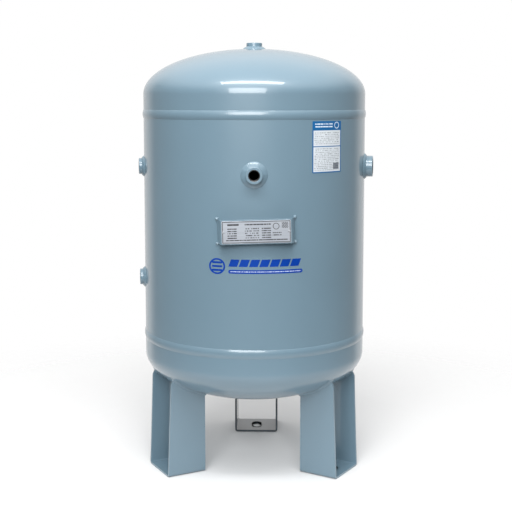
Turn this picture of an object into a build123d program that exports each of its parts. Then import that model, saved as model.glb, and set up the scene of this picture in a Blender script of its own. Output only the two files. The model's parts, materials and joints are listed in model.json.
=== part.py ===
from build123d import *
from math import acos, cos, degrees, hypot, radians, sin, sqrt
import os

# Vertical air receiver: a rolled steel shell closed by two dished heads, with screwed
# sockets for the air connections, standing on three legs folded from flat bar.
# Frame: millimetres, +Z up, origin on the tank's axis at floor level, front towards -Y.
# An azimuth is measured from the front (-Y) towards the right-hand side (+X), in degrees.

# Vessel
shell_radius = 225.0          # outside of the shell and of the heads' rims
plate = 4.0                   # wall of the shell and of the heads
shell_length = 446.0          # between the middles of the two girth seams
head_skirt = 39.5             # straight rim of a head, from the middle of its girth seam
head_depth = 91.0             # height of a head's elliptical crown
ground_clearance = 138.0      # floor to the lowest point of the bottom head
root_gap = 2.0                # gap between plate edges, filled by a seam weld

# Seam welds and the rings behind them
girth_bead_width = 18.0
girth_bead_rise = 2.0
long_bead_width = 10.0
long_bead_rise = 1.5
long_seam_azimuth = 150.0
backing_width = 30.0
backing_thickness = 3.0

# Screwed sockets: outside radius, minor radius of the pipe thread, radius of the mouth's
# countersink. The two sizes are G1/2 and G1 half couplings.
half_inch = {"outer": 16.0, "bore": 9.3155, "mouth": 11.0}
one_inch = {"outer": 21.0, "bore": 15.1455, "mouth": 17.2}
mouth_angle = 90.0
socket_reach = 10.0           # how far a socket runs in past the vessel's outside
socket_edge = 0.8             # broken outer corner of a socket
socket_clearance = 0.2        # radial, between a socket and its hole in the plate
socket_weld_rise = 5.5        # height of the fillet up a socket's side
front_port_drop = 109.5       # front socket, below the upper girth seam
side_port_drop = 105.0        # upper side sockets, below the upper girth seam
lower_port_rise = 115.0       # lower side socket, above the lower girth seam
left_port_azimuth = -82.0
right_port_azimuth = 81.0

# Legs, folded from flat bar into a U, with the open sides facing in and out
leg_width = 95.0              # across the outsides of the two walls
leg_plate = 4.0
leg_bend = 6.0                # outside radius of the two folds
leg_inset = 8.0               # from the shell's outside in to a leg's outer edge
leg_bar = 80.0                # width of the flat bar at the foot, along the tank's radius
leg_taper = 7.0               # how much narrower a wall is at its top, cut off its outer edge
leg_clip = 5.0                # cut off the upper outer corner of a wall, along the radius
leg_clip_drop = 10.0          # the same cut, downwards
leg_turn = -1.7               # the whole set of legs, turned from its even place
leg_weld = 5.0
anchor_slot_length = 42.0
anchor_slot_width = 22.0

# Nameplate on its bracket, tacked to the shell slightly out of level
nameplate_azimuth = 1.0
nameplate_drop = 103.0        # middle of the nameplate, below the front socket
nameplate_tilt = 1.4
nameplate_width = 127.5
nameplate_depth = 42.0
nameplate_thickness = 1.0
nameplate_corner = 2.0
bracket_margin = 2.0          # bracket face past the nameplate, all round
bracket_sheet = 1.5
bracket_bend = 2.5
bracket_stand_off = 12.0      # bracket face in front of the shell's nearest line
bracket_splay = 6.5           # how much wider the bracket is at its feet, on each side
tack_radius = 4.0
rivet_radius = 1.25
rivet_head_radius = 2.2
rivet_head_height = 0.9
rivet_edge_distance = 3.4     # rivet centre from the nameplate's end
rivet_clearance = 0.05

# Printed films on the shell
film = 0.3
label_azimuth = 37.8
label_width = 71.0
label_length = 96.5
label_corner = 1.5
label_gap = 2.4               # between the label's top edge and the upper girth bead
decal_azimuth = 0.9
decal_drop = 67.0             # middle of the decal, below the middle of the nameplate
decal_width = 174.5
decal_rise = 30.0

# Levels that follow from the above
crown_bottom = ground_clearance
lower_tangent = crown_bottom + head_depth
lower_seam = lower_tangent + head_skirt
upper_seam = lower_seam + shell_length
upper_tangent = upper_seam + head_skirt
crown_top = upper_tangent + head_depth
inner_radius = shell_radius - plate
front_port_height = upper_seam - front_port_drop
side_port_height = upper_seam - side_port_drop
lower_port_height = lower_seam + lower_port_rise
nameplate_height = front_port_height - nameplate_drop
decal_height = nameplate_height - decal_drop
leg_outer_radius = shell_radius - leg_inset
leg_inner_radius = leg_outer_radius - leg_bar
leg_middle_radius = leg_outer_radius - leg_bar / 2

os.makedirs("parts", exist_ok=True)


def save(piece, name):
    """Label a finished piece and write it under its own name."""
    piece.part.label = name
    export_step(piece.part, f"parts/{name}.step")


def outward(azimuth):
    """Horizontal unit vector that points away from the axis."""
    return Vector(sin(radians(azimuth)), -cos(radians(azimuth)), 0)


def side_seat(azimuth, height):
    """Plane that touches the shell: x level to the right, y up, z straight out."""
    out = outward(azimuth)
    return Plane(
        origin=out * shell_radius + Vector(0, 0, height),
        x_dir=outward(azimuth + 90),
        z_dir=out,
    )


def section_through(seat):
    """Plane of a lengthwise cut through a seat: x along the seat's x, y straight out."""
    return Plane(origin=seat.origin, x_dir=seat.x_dir, z_dir=-seat.y_dir)


def girth_section(height, upwards):
    """Plane of a cut through the tank's axis: x the radius, y away from the shell."""
    return Plane(origin=(0, 0, height), x_dir=(1, 0, 0), z_dir=(0, -1 if upwards else 1, 0))


def sag(half_chord):
    """How far the shell falls back behind its nearest line, at this distance from it."""
    return shell_radius - sqrt(shell_radius**2 - half_chord**2)


def head_underside(radius):
    """Height of the bottom head's outside at this distance from the axis."""
    return lower_tangent - head_depth * sqrt(1 - (radius / shell_radius) ** 2)


# The vessel's outside as one closed form, used to fit everything that sits on it
with BuildPart() as vessel_form:
    with BuildSketch(Plane.XZ):
        with BuildLine():
            EllipticalCenterArc((0, lower_tangent), shell_radius, head_depth, -90, arc_size=90)
            Line((shell_radius, lower_tangent), (shell_radius, upper_tangent))
            EllipticalCenterArc((0, upper_tangent), shell_radius, head_depth, 0, arc_size=90)
            Line((0, crown_top), (0, crown_bottom))
        make_face()
    revolve(axis=Axis.Z)

# Sockets: where each one stands, its size, how far it stands out, and its fillet's leg
top_seat = Plane(origin=(0, 0, crown_top), x_dir=(1, 0, 0), z_dir=(0, 0, 1))
drain_seat = Plane(origin=(0, 0, crown_bottom), x_dir=(1, 0, 0), z_dir=(0, 0, -1))
sockets = {
    "top_port": (top_seat, half_inch, 12.0, 8.0),
    "front_port": (side_seat(0, front_port_height), half_inch, 14.0, 9.5),
    "left_upper_port": (side_seat(left_port_azimuth, side_port_height), half_inch, 10.5, 5.5),
    "left_lower_port": (side_seat(left_port_azimuth, lower_port_height), half_inch, 10.5, 5.5),
    "right_port": (side_seat(right_port_azimuth, side_port_height), one_inch, 17.0, 5.5),
    "drain_port": (drain_seat, half_inch, 12.0, 6.5),
}


def cut_socket_hole(name):
    """Cut the hole of one socket through the plate that it stands in."""
    seat, size = sockets[name][:2]
    with Locations(seat):
        Hole(size["outer"] + socket_clearance, depth=socket_reach + plate)


# Shell: plate rolled to a cylinder, its two long edges meeting at the long seam
with BuildPart() as shell:
    with BuildSketch(Plane.XY.offset(lower_seam + root_gap / 2)):
        Circle(shell_radius)
        Circle(inner_radius, mode=Mode.SUBTRACT)
        with PolarLocations(shell_radius - plate / 2, 1, long_seam_azimuth - 90):
            Rectangle(2 * plate, root_gap, mode=Mode.SUBTRACT)
    extrude(amount=shell_length - root_gap)
    for name in ("front_port", "left_upper_port", "left_lower_port", "right_port"):
        cut_socket_hole(name)
save(shell, "shell")


def build_head(seam_height, upwards, hole, name):
    """Dished head: a straight rim and a half-elliptical crown of one wall."""
    with BuildPart() as head:
        with BuildSketch(girth_section(seam_height, upwards)):
            with BuildLine():
                Line((shell_radius, root_gap / 2), (shell_radius, head_skirt))
                EllipticalCenterArc((0, head_skirt), shell_radius, head_depth, 0, arc_size=90)
                Line((0, head_skirt + head_depth), (0, head_skirt + head_depth - plate))
                EllipticalCenterArc(
                    (0, head_skirt), inner_radius, head_depth - plate, 0, arc_size=90
                )
                Line((inner_radius, head_skirt), (inner_radius, root_gap / 2))
                Line((inner_radius, root_gap / 2), (shell_radius, root_gap / 2))
            make_face()
        revolve(axis=Axis.Z)
        cut_socket_hole(hole)
    save(head, name)


build_head(upper_seam, True, "top_port", "top_head")
build_head(lower_seam, False, "drain_port", "bottom_head")


def build_girth_weld(height, name):
    """Girth seam: the root between the plate edges, and an arched cap over both."""
    half_cap = girth_bead_width / 2
    half_root = root_gap / 2
    with BuildPart() as weld:
        with BuildSketch(girth_section(height, True)):
            with BuildLine():
                Polyline(
                    (shell_radius, half_cap),
                    (shell_radius, half_root),
                    (inner_radius, half_root),
                    (inner_radius, -half_root),
                    (shell_radius, -half_root),
                    (shell_radius, -half_cap),
                )
                ThreePointArc(
                    (shell_radius, -half_cap),
                    (shell_radius + girth_bead_rise, 0),
                    (shell_radius, half_cap),
                )
            make_face()
        revolve(axis=Axis.Z)
    save(weld, name)


def build_backing_ring(height, name):
    """Strip rolled to a ring inside the tank, behind the root of a girth seam."""
    with BuildPart() as ring:
        with BuildSketch(Plane.XY.offset(height - backing_width / 2)):
            Circle(inner_radius)
            Circle(inner_radius - backing_thickness, mode=Mode.SUBTRACT)
        extrude(amount=backing_width)
    save(ring, name)


for place, height in (("top", upper_seam), ("bottom", lower_seam)):
    build_girth_weld(height, f"{place}_seam_weld")
    build_backing_ring(height, f"{place}_backing_ring")

# Long seam: the root fills the slit in the shell, the cap runs between the girth beads
with BuildPart() as shell_seam_weld:
    with BuildSketch(Plane.XY.offset(lower_seam + root_gap / 2)):
        with PolarLocations(shell_radius - plate / 2, 1, long_seam_azimuth - 90):
            Rectangle(2 * plate, root_gap)
        Circle(shell_radius, mode=Mode.INTERSECT)
        Circle(inner_radius, mode=Mode.SUBTRACT)
    extrude(amount=shell_length - root_gap)
    with BuildSketch(Plane.XY.offset(lower_seam + girth_bead_width / 2)):
        with PolarLocations(shell_radius, 1, long_seam_azimuth - 90):
            Ellipse(long_bead_rise, long_bead_width / 2)
        Circle(shell_radius, mode=Mode.SUBTRACT)
    extrude(amount=shell_length - girth_bead_width)
save(shell_seam_weld, "shell_seam_weld")


def build_socket(name):
    """Half coupling: a turned round bar, bored for its thread and countersunk."""
    seat, size, stand_out, _ = sockets[name]
    with BuildPart() as socket:
        with BuildSketch(seat.offset(-socket_reach)):
            Circle(size["outer"])
        extrude(amount=socket_reach + stand_out)
        rims = socket.edges().filter_by(GeomType.CIRCLE)
        chamfer(rims.sort_by(Axis(seat.origin, seat.z_dir))[-1], socket_edge)
        with Locations(seat.offset(stand_out)):
            CounterSinkHole(size["bore"], size["mouth"], counter_sink_angle=mouth_angle)
    save(socket, name)


def build_socket_weld(name):
    """Convex fillet round a socket, fitted to the vessel's curve under it."""
    seat, size, _, leg = sockets[name]
    inner = size["outer"]
    outer = inner + leg
    sink = 2 * sag(outer)
    with BuildPart() as weld:
        with BuildSketch(section_through(seat)):
            with BuildLine():
                Line((inner, socket_weld_rise), (inner, -sink))
                Line((inner, -sink), (outer, -sink))
                ThreePointArc(
                    (outer, -sink),
                    (inner + 0.62 * leg, 0.5 * socket_weld_rise),
                    (inner, socket_weld_rise),
                )
            make_face()
        revolve(axis=Axis(seat.origin, seat.z_dir))
        add(vessel_form.part, mode=Mode.SUBTRACT)
    save(weld, f"{name}_weld")


for name in sockets:
    build_socket(name)
    build_socket_weld(name)


def build_leg(azimuth):
    """One folded leg: two walls and a slotted foot, its wall tops fitted to the head."""
    out = outward(azimuth)
    across = Plane(origin=out * leg_inner_radius, x_dir=outward(azimuth + 90), z_dir=out)
    along = Plane(origin=(0, 0, 0), x_dir=out, z_dir=-outward(azimuth + 90))
    foot = Plane(origin=out * leg_middle_radius, x_dir=out)
    half_width = leg_width / 2
    edge_top = leg_outer_radius - leg_taper
    clipped_radius = edge_top - leg_clip
    clip_top = head_underside(hypot(clipped_radius, half_width))
    with BuildPart() as leg:
        with BuildSketch(across):
            with BuildLine():
                FilletPolyline(
                    (-half_width, lower_tangent),
                    (-half_width, 0),
                    (half_width, 0),
                    (half_width, lower_tangent),
                    radius=leg_bend,
                )
                offset(amount=leg_plate, side=Side.LEFT)
            make_face()
        extrude(amount=leg_bar)
        with BuildSketch(along):
            Polygon(
                (leg_inner_radius, 0),
                (leg_outer_radius, 0),
                (leg_outer_radius, leg_bend),
                (edge_top, clip_top - leg_clip_drop),
                (clipped_radius, clip_top),
                (clipped_radius, lower_tangent),
                (leg_inner_radius, lower_tangent),
                align=None,
            )
        extrude(amount=leg_width, both=True, mode=Mode.INTERSECT)
        with BuildSketch(foot):
            SlotOverall(anchor_slot_length, anchor_slot_width)
        extrude(amount=leg_plate, mode=Mode.SUBTRACT)
        add(vessel_form.part, mode=Mode.SUBTRACT)
    return leg


def build_leg_weld(azimuth, leg):
    """Fillets that run along both faces of a leg's walls and round their ends."""
    out = outward(azimuth)
    level = outward(azimuth + 90)
    half_plate = leg_plate / 2
    inner_end = leg_inner_radius - leg_weld / 2
    outer_end = leg_outer_radius - leg_taper - leg_clip + leg_weld / 2
    with BuildPart() as weld:
        for side in (-1, 1):
            wall = side * (leg_width / 2 - half_plate)
            shrink = sqrt(1 - (wall / shell_radius) ** 2)
            reach = shell_radius * shrink
            with BuildLine(Plane(origin=level * wall, x_dir=out, z_dir=-level)):
                run = EllipticalCenterArc(
                    (0, lower_tangent),
                    reach,
                    head_depth * shrink,
                    start_angle=-degrees(acos(inner_end / reach)),
                    arc_size=degrees(acos(inner_end / reach) - acos(outer_end / reach)),
                )
            with BuildSketch(Plane(origin=run @ 0, x_dir=level, z_dir=run % 0)):
                Polygon(
                    (-half_plate, -leg_weld),
                    (half_plate, -leg_weld),
                    (half_plate + 2 * leg_weld, leg_weld),
                    (-half_plate - 2 * leg_weld, leg_weld),
                    align=None,
                )
            sweep(path=run)
        add(vessel_form.part, mode=Mode.SUBTRACT)
        add(leg.part, mode=Mode.SUBTRACT)
    return weld


for name, place in (("front_left_leg", -60), ("front_right_leg", 60), ("rear_leg", 180)):
    leg = build_leg(place + leg_turn)
    save(leg, name)
    save(build_leg_weld(place + leg_turn, leg), f"{name}_weld")

# Nameplate bracket: a shallow hat of sheet, its splayed flanges cut to the shell
nameplate_seat = side_seat(nameplate_azimuth, nameplate_height).rotated((0, 0, nameplate_tilt))
bracket_half_width = nameplate_width / 2 + bracket_margin
bracket_half_height = nameplate_depth / 2 + bracket_margin
flange_foot = bracket_half_width + bracket_splay
flange_depth = bracket_stand_off + sag(flange_foot)
with BuildPart() as nameplate_bracket:
    with BuildSketch(section_through(nameplate_seat)):
        with BuildLine():
            FilletPolyline(
                (-flange_foot - bracket_splay, bracket_stand_off - 2 * flange_depth),
                (-bracket_half_width, bracket_stand_off),
                (bracket_half_width, bracket_stand_off),
                (flange_foot + bracket_splay, bracket_stand_off - 2 * flange_depth),
                radius=bracket_bend,
            )
            offset(amount=bracket_sheet, side=Side.RIGHT)
        make_face()
    extrude(amount=bracket_half_height, both=True)
    add(vessel_form.part, mode=Mode.SUBTRACT)
    rivet_reach = nameplate_width / 2 - rivet_edge_distance
    with Locations(nameplate_seat.offset(bracket_stand_off)):
        with Locations((-rivet_reach, 0), (rivet_reach, 0)):
            Hole(rivet_radius + rivet_clearance, depth=2 * bracket_sheet)
save(nameplate_bracket, "nameplate_bracket")

# Four tacks hold the corners of the bracket's flanges to the shell
with BuildPart() as nameplate_bracket_welds:
    with Locations(nameplate_seat.offset(-sag(flange_foot))):
        with GridLocations(2 * flange_foot, 2 * bracket_half_height, 2, 2):
            Sphere(tack_radius)
    add(vessel_form.part, mode=Mode.SUBTRACT)
    add(nameplate_bracket.part, mode=Mode.SUBTRACT)
save(nameplate_bracket_welds, "nameplate_bracket_welds")

# Nameplate: a thin printed aluminium plate with a hole for a rivet at each end
with BuildPart() as nameplate:
    with BuildSketch(nameplate_seat.offset(bracket_stand_off)):
        RectangleRounded(nameplate_width, nameplate_depth, nameplate_corner)
        with Locations((-rivet_reach, 0), (rivet_reach, 0)):
            Circle(rivet_radius + rivet_clearance, mode=Mode.SUBTRACT)
    extrude(amount=nameplate_thickness)
save(nameplate, "nameplate")

# Blind rivets: a shank through plate and sheet, with a low head at each end
with BuildPart() as nameplate_rivets:
    shank = bracket_sheet + nameplate_thickness
    back = nameplate_seat.offset(bracket_stand_off - bracket_sheet)
    rivet_places = Locations((-rivet_reach, 0), (rivet_reach, 0))
    with BuildSketch(back):
        with rivet_places:
            Circle(rivet_radius)
    extrude(amount=shank)
    with BuildSketch(back.offset(shank), back.offset(-rivet_head_height)):
        with rivet_places:
            Circle(rivet_head_radius)
    extrude(amount=rivet_head_height)
    ends = nameplate_rivets.edges().filter_by(GeomType.CIRCLE).sort_by(Axis(back.origin, back.z_dir))
    fillet(ends[-2:], 0.7 * rivet_head_height)
save(nameplate_rivets, "nameplate_rivets")

# A skin of film thickness round the shell, from which the printed films are cut
with BuildPart() as film_form:
    with BuildSketch(Plane.XY.offset(lower_seam)):
        Circle(shell_radius + film)
        Circle(shell_radius, mode=Mode.SUBTRACT)
    extrude(amount=shell_length)

# Instruction label: a printed film just under the upper girth bead
label_top = upper_seam - girth_bead_width / 2 - label_gap
with BuildPart() as instruction_label:
    with BuildSketch(side_seat(label_azimuth, label_top - label_length / 2).offset(-sag(label_width))):
        RectangleRounded(label_width, label_length, label_corner)
    extrude(amount=sag(label_width) + 2 * film)
    add(film_form.part, mode=Mode.INTERSECT)
save(instruction_label, "instruction_label")

# Front decal, cut from film: a round badge with three bars across it, a row of slanted
# blocks that shorten to the right, and a long stripe under them
badge_radius = decal_rise / 2
badge_rim = 3.0
badge_bar = 3.6
stripe_thickness = 7.0
stripe_foot = 2.0             # the stripe's lower edge, above the badge's lowest point
block_count = 7
block_gap = 3.0
block_slant = 5.0
block_rise = decal_rise / 2 - 1.5
stripe_start = 2 * badge_radius + 2 * block_gap
stripe_length = decal_width - stripe_start
block_pitch = (stripe_length - block_slant) / block_count
with BuildPart() as front_decal:
    with BuildSketch(side_seat(decal_azimuth, decal_height).offset(-sag(decal_width / 2) - plate)):
        with Locations((-decal_width / 2 + badge_radius, 0)):
            Circle(badge_radius)
            Circle(badge_radius - badge_rim, mode=Mode.SUBTRACT)
            with GridLocations(0, 2 * badge_bar, 1, 3):
                SlotOverall(1.3 * badge_radius, badge_bar)
        with Locations((stripe_start / 2, stripe_foot + (stripe_thickness - decal_rise) / 2)):
            SlotOverall(stripe_length, stripe_thickness)
        for index in range(block_count):
            left = stripe_start - decal_width / 2 + index * block_pitch
            right = left + block_pitch - block_gap
            Polygon(
                (left, 0),
                (right, 0),
                (right + block_slant, block_rise),
                (left + block_slant, block_rise),
                align=None,
            )
    extrude(amount=sag(decal_width / 2) + plate + 2 * film)
    add(film_form.part, mode=Mode.INTERSECT)
save(front_decal, "front_decal")
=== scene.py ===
import json
from math import asin, cos, hypot, pi, radians, sin, sqrt, tau

import bmesh
import bpy
import numpy as np
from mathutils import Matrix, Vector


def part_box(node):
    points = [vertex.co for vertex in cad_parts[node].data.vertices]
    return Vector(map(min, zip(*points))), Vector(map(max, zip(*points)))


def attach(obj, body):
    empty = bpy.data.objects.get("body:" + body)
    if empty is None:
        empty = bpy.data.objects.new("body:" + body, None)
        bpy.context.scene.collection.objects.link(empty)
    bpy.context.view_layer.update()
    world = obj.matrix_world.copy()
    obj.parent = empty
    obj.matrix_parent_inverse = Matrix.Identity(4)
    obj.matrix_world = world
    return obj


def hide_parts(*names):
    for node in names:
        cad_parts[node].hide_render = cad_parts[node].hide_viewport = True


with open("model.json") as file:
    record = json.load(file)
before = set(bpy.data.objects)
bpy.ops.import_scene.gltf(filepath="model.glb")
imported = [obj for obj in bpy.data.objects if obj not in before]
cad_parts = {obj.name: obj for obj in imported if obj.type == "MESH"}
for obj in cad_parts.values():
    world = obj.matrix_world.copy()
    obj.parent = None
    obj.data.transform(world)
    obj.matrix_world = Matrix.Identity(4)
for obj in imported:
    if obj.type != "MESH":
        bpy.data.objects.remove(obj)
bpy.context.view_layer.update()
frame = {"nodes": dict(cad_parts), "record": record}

# Vertical air receiver, in metres, +Z up, the front towards -Y. An azimuth is counted from
# the front towards +X, as in the CAD model that this scene dresses.
mm = 0.001
hair = 1e-9
merge_reach = 0.001 * mm

# --------------------------------------
# Shell: 4 mm steel plate rolled to a cylinder, with a round hole cut for each of its four
# sockets. The tank was sprayed with a gloss light blue-grey enamel after welding; the rear
# leg's darker grey is painted shade.
shell_low, shell_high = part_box("shell")
shell_radius = shell_high.x
plate = 4 * mm
mounts = {mount["name"]: mount for mount in frame["record"]["mounts"]}
half_inch_hole = 16.2 * mm
one_inch_hole = 21.2 * mm
hole_rings = 6


def between(line, low, high):
    """Whether each value lies from low to high, with a hair to spare."""
    return (line > low - hair) & (line < high + hair)


def pierced_grid(us, vs, holes=()):
    """Points (u, v) where the lines us and vs cross, and the four-cornered faces between them.
    A hole (u0, u1, v0, v1, outline) takes the faces of its block out. Rings fill the block
    instead, and go in even steps from its edge to the outline, a function of the share of a turn
    from +u towards +v: on the block's edge the share is the share of its length."""
    u, v = np.meshgrid(us, vs, indexing="ij")
    points = [np.stack([u, v], -1).reshape(-1, 2)]
    index = np.arange(u.size).reshape(u.shape)
    cells = np.stack([index[:-1, :-1], index[1:, :-1], index[1:, 1:], index[:-1, 1:]], -1)
    kept = np.ones(cells.shape[:2], bool)
    faces = []
    for u0, u1, v0, v1, outline in holes:
        along_u = us[between(us, u0, u1)]
        along_v = vs[between(vs, v0, v1)]
        in_u = between(us[:-1], u0, u1) & between(us[1:], u0, u1)
        in_v = between(vs[:-1], v0, v1) & between(vs[1:], v0, v1)
        kept &= ~(in_u[:, None] & in_v[None, :])
        edge_u = np.concatenate([along_u[:-1], 0 * along_v[:-1] + along_u[-1],
                                 along_u[:0:-1], 0 * along_v[:0:-1] + along_u[0]])
        edge_v = np.concatenate([0 * along_u[:-1] + along_v[0], along_v[:-1],
                                 0 * along_u[:0:-1] + along_v[-1], along_v[:0:-1]])
        p = 2 * (edge_u - along_u[0]) / (along_u[-1] - along_u[0]) - 1
        q = 2 * (edge_v - along_v[0]) / (along_v[-1] - along_v[0]) - 1
        sideways = np.where(p > 0, q / 8, 0.5 - q / 8)
        upright = np.where(q > 0, 0.25 - p / 8, 0.75 + p / 8)
        rim = outline(np.where(np.abs(p) >= np.abs(q), sideways, upright))
        step = np.linspace(0, 1, hole_rings)[:, None, None]
        edge = np.stack([edge_u, edge_v], -1)
        rings = edge + (rim - edge) * step
        start = sum(map(len, points))
        points.append(rings.reshape(-1, 2))
        faces.append(start + loop_faces(len(step), len(edge), False))
    return np.concatenate(points), np.concatenate([cells[kept].reshape(-1, 4)] + faces)


def loop_faces(rows, columns, closed=True):
    """Faces of a grid of points whose columns run round a loop, and whose rows do if closed."""
    index = np.arange(rows * columns).reshape(rows, columns)
    ahead = np.roll(index, -1, 1)
    faces = np.stack([index, ahead, np.roll(ahead, -1, 0), np.roll(index, -1, 0)], -1)
    return (faces if closed else faces[:-1]).reshape(-1, 4)


def thick_plate(faces, outer, inner, marks):
    """A closed plate between two skins with the same faces: points that meet are made one, and
    every edge that only one face has is joined across to the other skin."""
    keys = np.round(outer / merge_reach).astype(np.int64)
    _, first, place = np.unique(keys, axis=0, return_index=True, return_inverse=True)
    faces = place.reshape(-1)[faces]
    count = len(first)
    sides = np.stack([faces, np.roll(faces, -1, 1)], -1).reshape(-1, 2)
    codes = np.sort(sides, 1) @ np.array([count, 1])
    _, at, uses = np.unique(codes, return_index=True, return_counts=True)
    rim = sides[at[uses == 1]]
    wall = np.stack([rim[:, 1], rim[:, 0], rim[:, 0] + count, rim[:, 1] + count], -1)
    wall = wall[rim[:, 0] != rim[:, 1]]
    points = np.concatenate([outer[first], inner[first]])
    faces = np.concatenate([faces, faces[:, ::-1] + count, wall])
    return points, faces, np.tile(marks[first], (2, 1))


def joined(parts):
    """Several (points, faces) as one: a part's faces count on from the points before it."""
    starts = np.cumsum([0] + [len(points) for points, _ in parts])
    faces = [cells + start for (_, cells), start in zip(parts, starts)]
    return np.concatenate([points for points, _ in parts]), np.concatenate(faces)


def put_piece(name, points, faces, crease=35.0, print_map=None, second=None):
    """A mesh piece from arrays of points and of four-cornered faces. Doubles are merged, faces
    are turned outwards, and folds sharper than crease degrees stay sharp. print_map gives each
    point a place on a printed face, and second marks the faces of the second finish."""
    mesh = bpy.data.meshes.new(name)
    mesh.from_pydata(points.reshape(-1, 3), [], faces)
    if print_map is not None:
        corners = np.zeros(len(mesh.loops), int)
        mesh.loops.foreach_get("vertex_index", corners)
        mesh.uv_layers.new(name="print").data.foreach_set("uv", print_map[corners].ravel())
    if second is not None:
        mesh.polygons.foreach_set("material_index", second.astype(int))
    solid = bmesh.new()
    solid.from_mesh(mesh)
    bmesh.ops.remove_doubles(solid, verts=solid.verts, dist=merge_reach)
    bmesh.ops.recalc_face_normals(solid, faces=solid.faces)
    solid.to_mesh(mesh)
    solid.free()
    mesh.shade_smooth()
    mesh.set_sharp_from_angle(angle=radians(crease))
    piece = bpy.data.objects.new(name, mesh)
    bpy.context.scene.collection.objects.link(piece)
    return piece


def dress(piece, node, slot, *finishes):
    """Gives a piece its finishes, and puts it on the fixed body in place of its CAD node."""
    for finish in finishes:
        piece.data.materials.append(finish.material)
    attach(piece, "root")
    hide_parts(node)


def break_edges(piece, width, angle):
    """A small bevel on every cut edge that turns by more than an angle in degrees."""
    bevel = piece.modifiers.new("broken_edges", "BEVEL")
    bevel.width = width
    bevel.segments = 2
    bevel.limit_method = "ANGLE"
    bevel.angle_limit = radians(angle)


class Level:
    """A value that changes over a surface: a node's output, on which sums add Math nodes."""

    def __init__(self, finish, socket):
        self.finish = finish
        self.socket = socket

    def __add__(self, other):
        return self.finish.math("ADD", self, other)

    def __sub__(self, other):
        return self.finish.math("SUBTRACT", self, other)

    def __rsub__(self, other):
        return self.finish.math("SUBTRACT", other, self)

    def __mul__(self, other):
        return self.finish.math("MULTIPLY", self, other)

    def __truediv__(self, other):
        return self.finish.math("DIVIDE", self, other)

    __radd__ = __add__
    __rmul__ = __mul__


class Finish:
    """A material or a room's light, whose nodes are added one by one."""

    def __init__(self, name, library=bpy.data.materials):
        self.material = library.new(name)
        self.material.use_nodes = True
        self.nodes = self.material.node_tree.nodes
        self.links = self.material.node_tree.links
        self.nodes.clear()

    def add(self, kind, settings=None, sockets=None, out=0):
        """One node: its settings first, then the values or links of its sockets."""
        node = self.nodes.new("ShaderNode" + kind)
        for key, value in (settings or {}).items():
            setattr(node, key, value)
        for key, value in (sockets or {}).items():
            if isinstance(value, Level):
                self.links.new(value.socket, node.inputs[key])
            else:
                node.inputs[key].default_value = value
        return Level(self, node.outputs[out]) if node.outputs else node

    def math(self, operation, *values):
        return self.add("Math", {"operation": operation}, dict(enumerate(values)))

    def place(self):
        """Where a point is on the tank, in metres."""
        return self.add("TexCoord", out="Object")

    def noise(self, scale, detail=2.0, roughness=0.5, stretch=(1, 1, 1)):
        """Soft noise from 0 to 1, with about scale lumps to the metre."""
        spot = self.add("Mapping", {}, {"Vector": self.place(), "Scale": stretch})
        return self.add("TexNoise", {}, {"Vector": spot, "Scale": scale, "Detail": detail,
                                         "Roughness": roughness})

    def ramp(self, value, low, high):
        """0 below low, 1 above high, and even between them."""
        return self.add("MapRange", {"clamp": True}, {"Value": value, 1: low, 2: high})

    def blend(self, share, first, second):
        """first where share is 0, second where it is 1."""
        return self.add("Mix", {"data_type": "RGBA"}, {0: share, 6: first, 7: second}, out=2)

    def bump(self, height, distance, strength=1.0, under=None):
        """The normal of a surface that stands distance higher where height is 1."""
        sockets = {"Height": height, "Distance": distance, "Strength": strength}
        if under is not None:
            sockets["Normal"] = under
        return self.add("Bump", {}, sockets)

    def surface(self, **sockets):
        """The shader and the output; socket names are written with _ for a space."""
        named = {key.replace("_", " "): value for key, value in sockets.items()}
        shader = self.add("BsdfPrincipled", {}, named)
        self.add("OutputMaterial", {}, {"Surface": shader})
        return self


def tone(red, green, blue):
    """A colour as its screen values from 0 to 255, in linear light."""
    share = np.array([red, green, blue]) / 255
    linear = np.where(share > 0.04045, ((share + 0.055) / 1.055) ** 2.4, share / 12.92)
    return (*linear.tolist(), 1.0)


def scaled(colour, share):
    """A colour made darker, or paler where share is over 1."""
    return (*(share * part for part in colour[:3]), 1.0)


def enamel(name, base, roughness, peel, scuff_height=0.0):
    """Sprayed gloss enamel: two close tones in wide clouds, the fine lumps of orange peel, a
    few dust nibs, and thin scuffs down to the primer below scuff_height."""
    finish = Finish(name)
    clouds = finish.ramp(finish.noise(3.5, 4.0, 0.6), 0.3, 0.7)
    colour = finish.blend(clouds, scaled(base, 0.955), scaled(base, 1.03))
    flecks = finish.ramp(finish.noise(900, 1.0), 0.77, 0.83)
    colour = finish.blend(flecks * 0.16, colour, tone(226, 232, 235))
    lumps = finish.noise(260, 2.5, 0.55)
    swells = finish.noise(38, 1.0)
    rough = roughness + 0.07 * (finish.noise(12, 3.0, 0.6) - 0.5)
    if scuff_height:
        height = finish.add("SeparateXYZ", {}, {0: finish.place()}, out="Z")
        low = 1 - finish.ramp(height, 0.3 * scuff_height, scuff_height)
        worn = low * finish.ramp(finish.noise(170, 5.0, 0.7, (1, 1, 0.35)), 0.56, 0.64)
        colour = finish.blend(worn * 0.85, colour, tone(118, 112, 104))
        rough = rough + 0.3 * worn
    normal = finish.bump(swells, 0.12 * mm, peel)
    normal = finish.bump(lumps, 0.05 * mm, peel, normal)
    return finish.surface(Base_Color=colour, Roughness=rough, Normal=normal, Coat_Weight=0.8,
                          Coat_Roughness=0.07, IOR=1.5)


def round_hole(azimuth, height, radius):
    """Outline of a hole bored straight in at an azimuth: a circle, wrapped on the cylinder."""
    def outline(share):
        level = radius * np.cos(tau * share)
        return np.stack([azimuth + np.arcsin(level / shell_radius),
                         height + radius * np.sin(tau * share)], -1)
    return outline


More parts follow.
